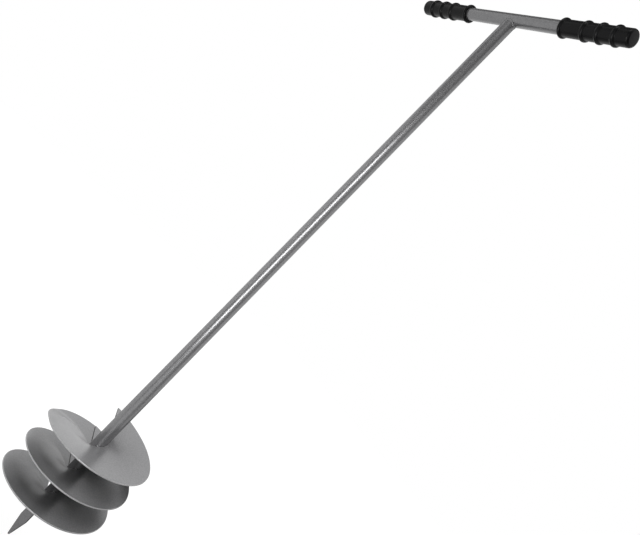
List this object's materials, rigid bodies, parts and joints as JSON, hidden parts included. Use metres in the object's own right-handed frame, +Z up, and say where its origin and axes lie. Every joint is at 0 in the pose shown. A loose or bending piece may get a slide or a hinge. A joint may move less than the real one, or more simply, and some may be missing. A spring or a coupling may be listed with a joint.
{
  "type": "hand earth auger",
  "caption": "Hand earth auger: tube shaft with a gripped T-handle, drawn right-hand screw flights and a flat spear point, turned by hand to bore holes in soil.",
  "frame": {"origin": "on the shaft's axis, at the level of the spear point's tip", "axes": "+Z up along the shaft, +X along the crossbar towards the right grip, +Y to the back"},
  "size_m": [0.4324, 0.18, 1.1294],
  "materials": {
    "painted_steel": "silver-grey metallic paint, semi-gloss, over drawn steel tube and plate",
    "painted_weld": "the same silver-grey paint over rough weld beads",
    "black_grip": "soft black plastic, moulded, semi-gloss"
  },
  "bodies": {
    "root": {"shaft_tube": "painted_steel", "crossbar_tube": "painted_steel", "flight_lower": "painted_steel", "flight_middle": "painted_steel", "flight_upper": "painted_steel", "spear_point": "painted_steel", "handle_weld": "painted_weld", "point_weld": "painted_weld", "flight_lower_weld": "painted_weld", "flight_middle_weld": "painted_weld", "flight_upper_weld": "painted_weld", "grip_right": "black_grip", "grip_left": "black_grip"}
  },
  "joints": []
}
